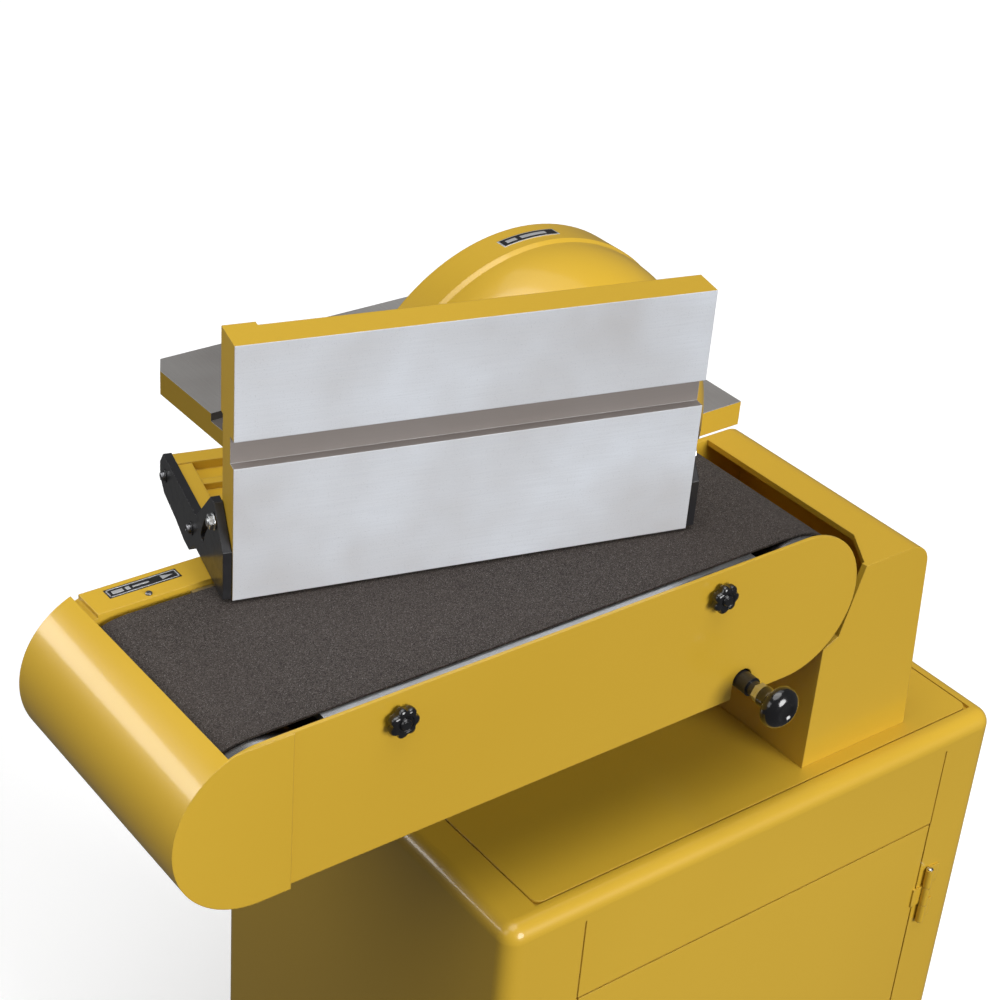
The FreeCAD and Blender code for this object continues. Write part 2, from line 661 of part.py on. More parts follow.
def dome(offset):
    """The guard's bell, shrunk inwards by offset, as a solid of revolution."""
    nose = GUARD_NOSE_R - offset
    band = GUARD_R - offset
    front = GUARD_FRONT + offset
    knee = (GUARD_R - offset) * 0.87, GUARD_FRONT + offset * 0.7 + 40
    end = GUARD_BACK + (1 if offset else 0)
    profile = [((0, front), None, (nose, front)), ((nose, front), knee, (band - 2, GUARD_BAND)),
               ((band - 2, GUARD_BAND), None, (band, GUARD_BAND + 4)),
               ((band, GUARD_BAND + 4), None, (band, end)),
               ((band, end), None, (0, end)), ((0, end), None, (0, front))]
    return revolve_y(profile)


def make_disc_guard():
    x, z = SPINDLE_X, SPINDLE_Z
    bell = cut(dome(0), dome(GUARD_WALL))
    bell = cut(bell, rod_y(x, z, 48, GUARD_FRONT - 1, GUARD_FRONT + 20))
    half = PEDESTAL_HALF + 15
    bell = cut(bell, box(x - half, x + half, GUARD_FRONT - 1, PEDESTAL_BACK + 2,
                         CABINET_H, PEDESTAL_TOP + 1))
    bell = cut(bell, box(x - 36, x + 36, GUARD_FRONT - 1, 66, CABINET_H, z))
    # the rim is notched where the table's near edge passes it
    bell = cut(bell, box(x - 170, x + 170, TABLE_FRONT - 1.5, GUARD_BACK + 1, 815, TABLE_TOP + 8))
    port_y, port_z, port_r = 118, 832, 50.8
    tube = rod_x(port_y, port_z, port_r, -188, -60)
    bore = rod_x(port_y, port_z, port_r - 3, -189, -60)
    port = cut(tube, bore, dome(0))
    port = sorted(port.Solids, key=lambda s: s.BoundBox.XMin)[0]
    export("dust_port", port)
    bell = cut(bell, rod_x(port_y, port_z, port_r - 3, -150, -60))
    bell = sorted(bell.Solids, key=lambda s: -s.Volume)[0]
    export("disc_guard", bell)

    cover = rod_y(x, z, GUARD_R, GUARD_BACK, GUARD_BACK + 3)
    cover = cut(cover, box(x - 200, x + 200, 0, 300, 812, 1200))
    export("lower_disc_cover", cover)


# ---------------------------------------------------------------- belt arm
def make_arm():
    x, z = SPINDLE_X, SPINDLE_Z
    body = stadium_y(IDLER_X, x, z, CASTING_R, CASTING_FRONT, CASTING_BACK)
    wall = CASTING_WALL
    pocket = stadium_y(IDLER_X, x, z, CASTING_R - wall, CASTING_FRONT + wall, CASTING_BACK + 1)
    hub = rod_y(x, z, 48, CASTING_FRONT, HUB_BACK)
    ribs = [box(rx - 3, rx + 3, CASTING_FRONT, CASTING_BACK - 4, z - CASTING_R + 3, z + CASTING_R - 3)
            for rx in (-240, -110)]
    spine = box(-240, x - 40, CASTING_FRONT, CASTING_BACK - 6, z - 4, z + 4)
    boss = rod_y(LOCK_X, LOCK_Z, 9, CASTING_FRONT, CASTING_BACK)
    # the flange runs on level to a square corner at the idler end
    corner = box(IDLER_X - 18, IDLER_X, CASTING_FRONT, CASTING_BACK, z + 20, z + CASTING_R)
    corner = cut(corner, rod_y(IDLER_X, z, CASTING_R - 1, CASTING_FRONT - 1, CASTING_BACK + 1))
    casting = fuse(cut(body, pocket), hub, spine, boss, corner, *ribs)
    casting = cut(casting, rod_y(x, z, QUILL_R + RUNNING, CASTING_FRONT - 1, HUB_BACK + 1))
    casting = cut(casting, rod_y(LOCK_X, LOCK_Z, LOCK_ROD_R + RUNNING, CASTING_FRONT - 1, CASTING_BACK + 1))
    # a level slot lets the idler's axle move with its carriage
    slot = stadium_y(IDLER_X - 0.5, IDLER_X + TENSION_TRAVEL + 0.5, z, 10.5, CASTING_FRONT - 1, 4)
    casting = cut(casting, slot)
    for rail_z in (z + 21, z - 29):
        casting = fuse(casting, box(IDLER_X - 30, IDLER_X + 44, 2, 20, rail_z, rail_z + 8))

    carriage = box(IDLER_X - 28, IDLER_X + 28, 3.5, 19, z - 20.5, z + 20.5)
    push = rod_x(12, z, 6, IDLER_X + 28, -387)
    axle = rod_y(IDLER_X, z, 10, DRUM_FRONT + 3, 19)
    cap = hexagon_y(IDLER_X, z, 17, DRUM_FRONT - 1, DRUM_FRONT + 3)
    export("idler_carriage", fuse(carriage, push))
    export("idler_axle", fuse(cut(axle, carriage), cap))
    export("idler_drum", drum(IDLER_X, 10 + RUNNING))

    belt_r = BELT_INNER_R + BELT_T
    belt = cut(stadium_y(IDLER_X, x, z, belt_r, BELT_FRONT, BELT_BACK),
               stadium_y(IDLER_X, x, z, BELT_INNER_R, BELT_FRONT - 1, BELT_BACK + 1))
    export("abrasive_belt", belt)

    top = z + BELT_INNER_R
    platen_low = top - PLATEN_T
    export("platen", box(-388, -30, -171, CASTING_FRONT, platen_low, top))
    brackets = [box(bx - 5, bx + 5, -150, CASTING_FRONT, platen_low - 20, platen_low) for bx in (-290, -120)]
    casting = fuse(casting, rod_y(LEVER_X, z, 5, CASTING_FRONT, 27), *brackets)
    export("arm_casting", casting)
    posts = []
    for px in POST_XS:
        post = rod_y(px, POST_Z, POST_R, COVER_FRONT + COVER_T, CASTING_FRONT)
        bore = rod_y(px, POST_Z, KNOB_STUD_R + RUNNING, COVER_FRONT, COVER_FRONT + 22)
        posts.append(cut(post, bore))
    export("cover_posts", *posts)


def make_covers():
    x, z = SPINDLE_X, SPINDLE_Z
    back = COVER_FRONT + COVER_T
    plate = stadium_y(IDLER_X, x, z, COVER_R, COVER_FRONT, back)
    notch_half = 9
    notch = fuse(rod_y(LOCK_X, LOCK_Z, notch_half, COVER_FRONT - 1, back + 1),
                 box(LOCK_X - notch_half, LOCK_X + notch_half, COVER_FRONT - 1, back + 1,
                     z - COVER_R - 1, LOCK_Z))
    plate = cut(plate, notch)
    for px in POST_XS:
        plate = cut(plate, rod_y(px, POST_Z, KNOB_STUD_R + 0.2, COVER_FRONT - 1, back + 1))
    export("front_cover", plate)

    # the end cover's sheet wraps the idler end from above, round the left, to below
    outside = END_COVER_R
    inside = END_COVER_R - END_COVER_T
    seam = END_COVER_SEAM
    face = COVER_FRONT - END_COVER_T
    lean = IDLER_X - 24            # where the cover starts on top, left of the idler's axis
    sweep = fuse(rod_y(IDLER_X, z, outside, face, END_COVER_BACK),
                 box(IDLER_X, seam, face, END_COVER_BACK, z - outside, z))
    hollow = fuse(rod_y(IDLER_X, z, inside, COVER_FRONT, END_COVER_BACK + 1),
                  box(IDLER_X, seam + 1, COVER_FRONT, END_COVER_BACK + 1, z - inside, z + inside))
    keep = prism_y([(-600, 800), (seam, 800), (seam, z), (IDLER_X, z), (lean, z + COVER_R),
                    (lean - 3, z + 80), (-600, z + 80)], face - 1, END_COVER_BACK + 1)
    wrap = cut(sweep.common(keep), hollow)
    side = fuse(rod_y(IDLER_X, z, outside, face, COVER_FRONT),
                box(IDLER_X, seam, face, COVER_FRONT, z - outside, z + COVER_R))
    side = cut(side, box(IDLER_X - 200, seam + 60, face - 1, COVER_FRONT + 1, z + COVER_R, z + 80))
    side = side.common(box(IDLER_X - 200, seam, face - 1, COVER_FRONT + 1, z - 100, z + 100))
    export("end_cover", fuse(wrap, side))

    for name, px in (("cover_knob_left", POST_XS[0]), ("cover_knob_right", POST_XS[1])):
        knob = moved(turned(star_knob(11, 6), X_AXIS, 90), px, COVER_FRONT - 2, POST_Z)
        seat = rod_y(px, POST_Z, 6, COVER_FRONT - 2, COVER_FRONT - 0.1)
        stud = rod_y(px, POST_Z, KNOB_STUD_R, COVER_FRONT - 2, COVER_FRONT + 20)
        export(name, fuse(knob, seat, stud))


def make_arm_lock():
    x, z = LOCK_X, LOCK_Z
    r = LOCK_ROD_R
    export("lock_rod", rod_y(x, z, r, -200, 42))
    collar = fuse(rod_y(x, z, 7.5, -186, -167), rod_y(x, z, 5.8, -192, -186))
    export("lock_collar", cut(collar, rod_y(x, z, r, -195, -160)))
    nut = hexagon_y(x, z, 13, -198, -192)
    export("lock_jam_nut", cut(nut, rod_y(x, z, r, -199, -191)))
    profile = [((0, -223), None, (9, -223)), ((9, -223), (13.4, -221.5), (16, -217)),
               ((16, -217), (16.2, -212.5), (13.4, -210)), ((13.4, -210), (9.5, -208.5), (8, -204)),
               ((8, -204), None, (8, -198)), ((8, -198), None, (0, -198)), ((0, -198), None, (0, -223))]
    export("lock_knob", cut(revolve_y(profile, x, z), rod_y(x, z, r, -200, -195)))
    clamp = box(x - 8, x + 8, 36.8, 41.8, z - 8, z + 8)
    export("lock_nut", cut(clamp, rod_y(x, z, r + RUNNING, 30, 50)))


def make_tension_lever():
    z = SPINDLE_Z
    x = LEVER_X
    cam = rod_y(x - 6, z, 14, 6, 18)
    hub = rod_y(x, z, 9, 18, 26)
    arm = box(x, x + LEVER_LENGTH, 20, 25, z - 5, z + 5)
    tip = rod_y(x + LEVER_LENGTH, z, 6.5, 17, 33)
    lever = cut(fuse(cam, hub, arm, tip), rod_y(x, z, 5 + RUNNING, 0, 30))
    export("tension_lever", lever)


# ---------------------------------------------------------------- fence
def fence_section(points, x0, x1):
    """Outline in (distance behind the face, height), pushed along the fence."""
    return prism_x([(FENCE_FACE + s, h) for s, h in points], x0, x1)


def make_fence():
    x0 = FENCE_LEFT
    x1 = FENCE_LEFT + FENCE_LENGTH
    face = FENCE_FACE
    outline = [(0, 0), (FENCE_TOE, 0), (FENCE_T, FENCE_HEEL), (FENCE_T, FENCE_H), (0, FENCE_H)]
    body = fence_section(outline, x0, x1)
    # the back is hollowed between the rim and three upright ribs
    bays = 4
    rim = 13
    bay = (FENCE_LENGTH - rim * 2 - 8 * (bays - 1)) / bays
    for i in range(bays):
        left = x0 + rim + i * (bay + 8)
        for low, high in ((40, FENCE_SLOT_LOW - 4), (FENCE_SLOT_LOW + FENCE_SLOT_W + 4, FENCE_H - 12)):
            body = cut(body, box(left, left + bay, face + FENCE_SKIN, face + FENCE_T + 1, low, high))
    slot = box(x0 - 1, x1 + 1, face - 1, face + FENCE_SLOT_DEPTH,
               FENCE_SLOT_LOW, FENCE_SLOT_LOW + FENCE_SLOT_W)
    body = cut(body, slot)
    # the rim is thicker at the left end
    body = fuse(body, box(x0, x0 + 22, face + FENCE_T - 1, face + FENCE_T + 4.5, FENCE_H - 60, FENCE_H))
    # a boss at each end carries the tilt stud
    stud_s, stud_h = polar((0, 0), TILT_R, TILT_TOP_ANGLE)
    for lx in (x0, x1 - 14):
        body = fuse(body, rod_x(face + stud_s, stud_h, 5.5, lx, lx + 14))
    hole = rod_x(face + stud_s, stud_h, TILT_STUD_R, x0 - 1, x1 + 1)
    body = cut(body, hole)
    export("fence", fence_place(body))

    studs = []
    for end, sign in ((x0, -1), (x1, 1)):
        a, b = sorted((end - sign * 12, end + sign * 12))
        stud = rod_x(face + stud_s, stud_h, TILT_STUD_R, a, b)
        c, d = sorted((end + sign * 7.2, end + sign * 10.7))
        studs.append(fence_place(fuse(stud, hexagon_x(face + stud_s, stud_h, 10, c, d))))
    export("fence_tilt_studs", *studs)


def make_fence_bracket():
    x0 = FENCE_LEFT
    x1 = FENCE_LEFT + FENCE_LENGTH
    face = FENCE_FACE
    plate_t = 6
    back_deep = 150
    back_short = 73
    # end plates: upright limb beside the fence and a level limb to the rear
    left = fence_section([(1, 1.3), (71, 1.3), (84, -11), (98, -11), (118, -7), (150, -4), (161, 4),
                          (161, 16), (152, 27), (66, 27), (30, 63), (22, 63), (1, 37)],
                         x0 - plate_t - GAP, x0 - GAP)
    right = fence_section([(1, 1.3), (back_short, 1.3), (back_short, 23), (30, 63), (22, 63), (1, 37)],
                          x1 + GAP, x1 + plate_t + GAP)
    slots = []
    low_angle = TILT_TOP_ANGLE - TILT_RANGE
    for px in (x0 - plate_t - 2, x1 - 1):
        slots.append(arc_slot_x(face, 0, TILT_R, TILT_STUD_R + 0.6,
                                low_angle - 0.5, TILT_TOP_ANGLE + 0.5, px, px + 12))
    export("fence_end_plate_left", fence_place(cut(left, slots[0])))
    export("fence_end_plate_right", fence_place(cut(right, slots[1])))

    # the bracket casting: a floor that narrows towards the right, a rear lip and two ribs
    floor_z0, floor_z1 = 8, 20
    front_s = 61
    deep_x = x0 + 120
    narrow_x = x0 + 200
    plan = [(x0 - GAP, face + front_s), (x1 + GAP, face + front_s), (x1 + GAP, face + back_short),
            (narrow_x, face + back_short), (deep_x, face + back_deep), (x0 - GAP, face + back_deep)]
    floor = prism_z(plan, floor_z0, floor_z1)
    lip = prism_z([(x0 - GAP, face + back_deep - 14), (deep_x - 4, face + back_deep - 14),
                   (deep_x, face + back_deep), (x0 - GAP, face + back_deep)], floor_z1 - 1, 27)
    end_web = box(x0 - GAP, x0 + 10, face + 64, face + back_deep, floor_z1 - 1, 26)
    end_web_right = box(x1 - 10, x1 + GAP, face + front_s, face + back_short, floor_z1 - 1, 23)
    ribs = [box(x0 + 9, deep_x - 10, face + s, face + s + 7, floor_z1 - 1, floor_z1 + 5) for s in (84, 108)]
    pad_top = floor_z0 + 1
    pad_low = 0.8
    pad = fuse(rod_z(0, 0, 13, pad_low, pad_top), box(0, 66, -12, 24, pad_low, pad_top),
               rod_z(66, 2, 14, pad_low, pad_top))
    casting = fuse(floor, lip, end_web, end_web_right, pad, *ribs)
    casting = cut(casting, rod_z(0, 0, SWIVEL_R + RUNNING, 0, 30), rod_z(0, 0, 10.5, pad_top, 30))
    slot_r = 50
    stud_angle = -FENCE_YAW
    # the clamp stud's slot, and above it a wider pocket that the nut moves along
    for half, low in ((4.6, 0), (8.6, pad_top)):
        casting = cut(casting, arc_slot_z(slot_r, half, -1, stud_angle + 1, low, 30))
    export("fence_bracket", fence_place(casting))

    bolts = []
    for s, h in ((147, 4), (78, 2)):
        seat = x0 - plate_t - GAP
        head = rod_x(face + s, h + 8, 4.5, seat - 4, seat)
        bolts.append(fence_place(fillet(head, 1.5, lambda e: e.BoundBox.XMax < seat - 3)))
    export("bracket_bolts", *bolts)
    flange_top = SPINDLE_Z + CASTING_R
    seat = FENCE_BOTTOM + pad_top + 0.2
    head_t = 3.5
    studs = []
    for stud_x, r, across in ((SWIVEL_X, SWIVEL_R, 14), (SWIVEL_X + slot_r, 4, 13)):
        studs.append(fuse(rod_z(stud_x, SWIVEL_Y, r, flange_top, seat + head_t),
                          hexagon_z(stud_x, SWIVEL_Y, across, seat, seat + head_t)))
    export("fence_mount_studs", *studs)


# ---------------------------------------------------------------- disc table
def make_disc_table():
    left, right, front, back = TABLE_LEFT, TABLE_RIGHT, TABLE_FRONT, TABLE_BACK
    low = TABLE_TOP - TABLE_T
    table = box(left, right, front, back, low, TABLE_TOP)
    corner = [(left - 1, back - 22), (left + 12, back + 1), (left - 1, back + 1)]
    table = cut(table, prism_z(corner, low - 1, TABLE_TOP + 1))
    rim = 12
    slot_side = MITRE_W / 2 + 10
    for x0, x1 in ((left + rim, -20), (-10, 85), (95, 190), (200, right - rim)):
        for y0, y1 in ((front + rim, MITRE_Y - slot_side), (MITRE_Y + slot_side, back - rim - 14)):
            table = cut(table, box(x0, x1, y0, y1, low - 1, TABLE_TOP - TABLE_SKIN))
    table = cut(table, box(left - 1, right + 1, MITRE_Y - MITRE_W / 2, MITRE_Y + MITRE_W / 2,
                           TABLE_TOP - MITRE_DEPTH, TABLE_TOP + 1))
    export("disc_table", table)

    plates = []
    fixed = []
    stud_y, stud_z = polar((TILT_Y, TILT_Z), CLAMP_R, CLAMP_ANGLE)
    for name, plane, out in (("left", TRUNNION_FACES[0], -1), ("right", TRUNNION_FACES[1], 1)):
        def between(start, end):
            """Two distances from the plane, outwards, as an increasing pair of X values."""
            return sorted((plane + out * start, plane + out * end))

        inner = -(GAP + TRUNNION_T)    # the trunnion plate's inner face
        a, b = between(-GAP, inner)
        plate = fuse(rod_x(TILT_Y, TILT_Z, 12, a, b), sector_x(TILT_Y, TILT_Z, 4, 47, -80, -8, a, b),
                     box(a, b, TILT_Y + 2, TILT_Y + 47, TILT_Z - 5, TABLE_TOP - TABLE_SKIN))
        slot = arc_slot_x(TILT_Y, TILT_Z, CLAMP_R, 4.6,
                          CLAMP_ANGLE - 1, CLAMP_ANGLE + TILT_RANGE + 1, a - 1, b + 1)
        plates.append(cut(plate, slot, rod_x(TILT_Y, TILT_Z, 6 + RUNNING, a - 1, b + 1)))

        a, b = between(0, TRUNNION_T)
        upright = prism_x([(106, CABINET_H), (160, CABINET_H), (212, stud_z - 6), (209, stud_z + 12),
                           (TILT_Y + 11, TILT_Z + 4), (TILT_Y - 11, TILT_Z + 4), (150, 780)], a, b)
        foot = box(*between(0, 10 if out > 0 else 34), 106, 158, CABINET_H, CABINET_H + 8)
        bracket = fuse(upright, rod_x(TILT_Y, TILT_Z, 12, a, b), foot)
        pivot_bore = rod_x(TILT_Y, TILT_Z, 6, a - 1, b + 1)
        stud_bore = rod_x(stud_y, stud_z, CLAMP_STUD_R, a - 1, b + 1)
        fixed.append(cut(bracket, pivot_bore, stud_bore))
        fixed.append(rod_x(TILT_Y, TILT_Z, 6, *between(inner - 5, TRUNNION_T + 2)))
        stud = rod_x(stud_y, stud_z, CLAMP_STUD_R, *between(inner - 5, TRUNNION_T + 10))
        fixed.append(fuse(stud, hexagon_x(stud_y, stud_z, 13, *between(inner - 5, inner - GAP))))

        seat = rod_x(stud_y, stud_z, 7, *between(TRUNNION_T + 0.2, TRUNNION_T + 4))
        knob = turned(star_knob(12, 9, 6), Y_AXIS, 90 * out)
        knob = fuse(moved(knob, plane + out * (TRUNNION_T + 4), stud_y, stud_z), seat)
        knob_bore = rod_x(stud_y, stud_z, CLAMP_STUD_R + RUNNING, *between(TRUNNION_T, TRUNNION_T + 10.5))
        export("table_knob_" + name, cut(knob, knob_bore))
    export("table_trunnions", *plates)
    export("table_brackets", *fixed)


def main():
    os.makedirs("parts", exist_ok=True)
    make_cabinet()
    make_door()
    make_switch()
    make_spindle_support()
    make_drive()
    make_housing()
    make_disc_guard()
    make_arm()
    make_covers()
    make_arm_lock()
    make_tension_lever()
    make_fence()
    make_fence_bracket()
    make_disc_table()


main()
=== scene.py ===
"""The looks of a belt and disc grinder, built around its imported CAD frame.  Metres, +Z up."""
import json
import math

import bmesh
import bpy
from mathutils import Matrix, Vector


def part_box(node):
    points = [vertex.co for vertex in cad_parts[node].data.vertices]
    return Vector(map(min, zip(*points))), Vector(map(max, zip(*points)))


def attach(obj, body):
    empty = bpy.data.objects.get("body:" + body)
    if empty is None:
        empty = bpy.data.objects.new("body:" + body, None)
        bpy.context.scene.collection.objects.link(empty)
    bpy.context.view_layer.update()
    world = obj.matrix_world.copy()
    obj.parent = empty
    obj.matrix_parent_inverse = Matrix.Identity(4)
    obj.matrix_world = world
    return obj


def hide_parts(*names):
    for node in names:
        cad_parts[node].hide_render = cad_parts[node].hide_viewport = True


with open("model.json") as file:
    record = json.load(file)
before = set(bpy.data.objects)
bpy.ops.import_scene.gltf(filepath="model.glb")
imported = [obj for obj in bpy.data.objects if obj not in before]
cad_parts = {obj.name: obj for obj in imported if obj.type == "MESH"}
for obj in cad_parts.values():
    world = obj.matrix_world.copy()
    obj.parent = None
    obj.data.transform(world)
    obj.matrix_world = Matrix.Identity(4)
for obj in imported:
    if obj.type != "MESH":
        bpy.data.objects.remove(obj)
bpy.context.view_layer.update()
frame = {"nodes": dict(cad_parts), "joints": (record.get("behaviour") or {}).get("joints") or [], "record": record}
nodes = frame["nodes"]

MM = 0.001
TAU = 2 * math.pi

# The working frames of the sloping parts, from the joints they turn on
joints = {joint["name"]: joint for joint in frame["joints"]}
SPINDLE = Vector(joints["spindle_spin"]["pos_m"])
IDLER = Vector(joints["idler_spin"]["pos_m"])
FENCE_ORIGIN = Vector(joints["fence_tilt"]["pos_m"])
FENCE_ALONG = -Vector(joints["fence_tilt"]["axis"]).normalized()
FENCE_BACK = Vector((0, 0, 1)).cross(FENCE_ALONG).normalized()

# Places on the CAD nodes that no joint or box gives, in millimetres and degrees
FLANGE_TOP = 980.5
GUARD_BAND_R = 157.9
FENCE_LENGTH = 331.5
TILT_STUD_R = 54.0
TILT_STUD_ANGLE = 67.0
LOUVRES = 8
LOUVRE_BOTTOM = 360.0
LOUVRE_PITCH = 22.0
HINGE_CENTRES = (175.0, 588.0)
HINGE_HALF_LENGTH = 28.0
SWITCH_Y = 95.0
SWITCH_Z = 650.0
START_Z = 675.0
STOP_Z = 625.0
PEDESTAL_FOOT_T = 10.0
MOTOR_FOOT_TOP = 349.0
BEARING_SCREW_R = 35.0
BEARING_FACE_Y = 125.0


# ---------------------------------------------------------------- camera, light and floor
def place_camera():
    data = bpy.data.cameras.new("camera")
    data.sensor_width = 36.0
    data.lens = 76.74
    data.shift_x = 0.003
    data.shift_y = 0.002
    camera = bpy.data.objects.new("camera", data)
    bpy.context.scene.collection.objects.link(camera)
    turn = Vector((2.0489, -0.6346, 0.4540))
    to_camera = Matrix.Rotation(turn.length, 3, turn.normalized())
    right, down, ahead = (Vector(row) for row in to_camera)
    axes = Matrix((right, -down, -ahead)).transposed().to_4x4()
    camera.matrix_world = Matrix.Translation((-0.97224, -1.03138, 1.76326)) @ axes
    bpy.context.scene.camera = camera


def area_light(name, place, target, size, watts, tint=(1, 1, 1)):
    data = bpy.data.lights.new(name, "AREA")
    data.shape = "RECTANGLE"
    data.size = size[0]
    data.size_y = size[1]
    data.energy = watts
    data.color = tint
    lamp = bpy.data.objects.new(name, data)
    lamp.location = place
    lamp.rotation_euler = (Vector(target) - Vector(place)).to_track_quat("-Z", "Y").to_euler()
    bpy.context.scene.collection.objects.link(lamp)
    return lamp


def far_light(name, direction, energy, softness):
    """A soft distant light; softness is its apparent size in degrees."""
    data = bpy.data.lights.new(name, "SUN")
    data.energy = energy
    data.angle = math.radians(softness)
    lamp = bpy.data.objects.new(name, data)
    lamp.rotation_euler = Vector(direction).to_track_quat("-Z", "Y").to_euler()
    bpy.context.scene.collection.objects.link(lamp)


def set_light():
    far_light("front_key", (-0.18, 0.95, -0.28), 2.55, 30)
    far_light("overhead_key", (0.14, 0.10, -1.0), 1.6, 50)
    area_light("overhead_softbox", (0.3, 0.2, 2.9), (0, 0, 0.9), (1.6, 1.6), 8)
    area_light("left_fill", (-1.05, -0.05, 1.35), (-0.46, -0.08, 0.92), (0.9, 0.5), 2.7)
    # this strip shows only as a highlight on glossy paint
    strip = area_light("left_strip", (-1.75, 1.45, 1.7), (-0.45, 0, 0.95), (1.7, 0.55), 20)
    strip.visible_diffuse = False
    world = bpy.data.worlds.new("studio")
    bpy.context.scene.world = world
    world.use_nodes = True
    tree = world.node_tree
    backdrop = tree.nodes["Background"]
    backdrop.inputs["Color"].default_value = (1, 1, 1, 1)
    light_path = tree.nodes.new("ShaderNodeLightPath")
    strength = tree.nodes.new("ShaderNodeMapRange")
    strength.inputs["To Min"].default_value = 0.10
    strength.inputs["To Max"].default_value = 1.0
    tree.links.new(light_path.outputs["Is Camera Ray"], strength.inputs["Value"])
    tree.links.new(strength.outputs["Result"], backdrop.inputs["Strength"])


def lay_floor():
    mesh = bpy.data.meshes.new("floor")
    half = 14.0
    corners = [(-half, -half, 0), (half, -half, 0), (half, half, 0), (-half, half, 0)]
    mesh.from_pydata(corners, [], [(0, 1, 2, 3)])
    floor = bpy.data.objects.new("floor", mesh)
    bpy.context.scene.collection.objects.link(floor)
    floor.visible_diffuse = False
    floor.visible_glossy = False
    shader = Shader("floor_paper", (0.94, 0.94, 0.94), 0.9, Emission_Strength=0.30)
    shader.set("Emission Color", (1, 1, 1, 1))
    floor.data.materials.append(shader.material)


# ---------------------------------------------------------------- shader building
class Shader:
    """A Principled material with short calls for the nodes that feed it."""

    def __init__(self, name, colour, roughness, metallic=0.0, **constants):
        self.material = bpy.data.materials.new(name)
        self.material.use_nodes = True
        self.tree = self.material.node_tree
        self.bsdf = self.tree.nodes["Principled BSDF"]
        self.set("Base Color", (*colour, 1))
        self.set("Roughness", roughness)
        self.set("Metallic", metallic)
        for key, value in constants.items():
            self.set(key.replace("_", " "), value)
        self.coords = self.add("TexCoord").outputs["Object"]

    def feed(self, socket, value):
        if isinstance(value, bpy.types.NodeSocket):
            self.tree.links.new(value, socket)
        else:
            socket.default_value = value

    def set(self, key, value):
        self.feed(self.bsdf.inputs[key], value)

    def add(self, kind, inputs=None, **settings):
        node = self.tree.nodes.new("ShaderNode" + kind)
        for key, value in settings.items():
            setattr(node, key, value)
        for key, value in (inputs or {}).items():
            self.feed(node.inputs[key], value)
        return node

    def math(self, operation, a, b=0.0, clamp=False):
        return self.add("Math", {0: a, 1: b}, operation=operation, use_clamp=clamp).outputs[0]

    def mix(self, factor, a, b):
        a = (*a, 1) if isinstance(a, tuple) else a
        b = (*b, 1) if isinstance(b, tuple) else b
        return self.add("Mix", {0: factor, 6: a, 7: b}, data_type="RGBA").outputs[2]

    def between(self, value, low, high, to_low=0.0, to_high=1.0):
        inputs = {"Value": value, "From Min": low, "From Max": high, "To Min": to_low, "To Max": to_high}
        return self.add("MapRange", inputs).outputs[0]

    def stretched(self, scale, turn=(0, 0, 0)):
        return self.add("Mapping", {"Vector": self.coords, "Scale": scale, "Rotation": turn}).outputs[0]

    def noise(self, scale, detail=2.0, vector=None, roughness=0.5):
        inputs = {"Vector": vector or self.coords, "Scale": scale, "Detail": detail, "Roughness": roughness}
        return self.add("TexNoise", inputs).outputs[0]

    def grains(self, scale):
        """Random value of each cell, and the distance to the cell's centre."""
        node = self.add("TexVoronoi", {"Vector": self.coords, "Scale": scale})
        return self.add("SeparateColor", {0: node.outputs["Color"]}).outputs[0], node.outputs["Distance"]

    def round_edges(self, radius):
        return self.add("Bevel", {"Radius": radius}, samples=4).outputs[0]

    def edge_mask(self, rounded, gain):
        """White where the rounded normal leaves the flat one: along sharp edges."""
        flat = self.add("NewGeometry").outputs["Normal"]
        dot = self.add("VectorMath", {0: rounded, 1: flat}, operation="DOT_PRODUCT").outputs["Value"]
        return self.math("MULTIPLY", self.math("SUBTRACT", 1.0, dot), gain, clamp=True)

    def bump(self, height, distance, strength=1.0, normal=None):
        inputs = {"Height": height, "Distance": distance, "Strength": strength}
        node = self.add("Bump", inputs)
        if normal is not None:
            self.feed(node.inputs["Normal"], normal)
        return node.outputs[0]

    def axis_distance(self, centre):
        """Distance from an axis along Y through a point."""
        parts = self.add("SeparateXYZ", {0: self.coords}).outputs
        dx = self.math("SUBTRACT", parts[0], centre.x)
        dz = self.math("SUBTRACT", parts[2], centre.z)
        squares = self.math("ADD", self.math("MULTIPLY", dx, dx), self.math("MULTIPLY", dz, dz))
        return self.math("SQRT", squares)

    def along(self, direction, origin):
        """Distance along a direction from a point."""
        offset = self.add("VectorMath", {0: self.coords, 1: origin}, operation="SUBTRACT").outputs[0]
        return self.add("VectorMath", {0: offset, 1: direction}, operation="DOT_PRODUCT").outputs["Value"]


# ---------------------------------------------------------------- materials
YELLOW = (0.66, 0.415, 0.036)
YELLOW_DEEP = (0.56, 0.335, 0.024)


def enamel_colour(shader, edges):
    """Mustard enamel: slow tint drift, a trace of shop dust, and thinner paint on sharp edges."""
    drift = shader.between(shader.noise(2.2, 2), 0.35, 0.68, 0.0, 0.5)
    colour = shader.mix(drift, YELLOW, YELLOW_DEEP)
    fleck = shader.between(shader.noise(1400, 2), 0.58, 0.80, 0.0, 0.22)
    colour = shader.mix(fleck, colour, (0.50, 0.30, 0.03))
    return shader.mix(shader.math("MULTIPLY", edges, 0.35, clamp=True), colour, (0.78, 0.55, 0.13))


def enamel_height(shader):
    """Orange peel in the paint."""
    return shader.math("ADD", shader.math("MULTIPLY", shader.noise(650, 2), 0.5), shader.noise(150, 1))


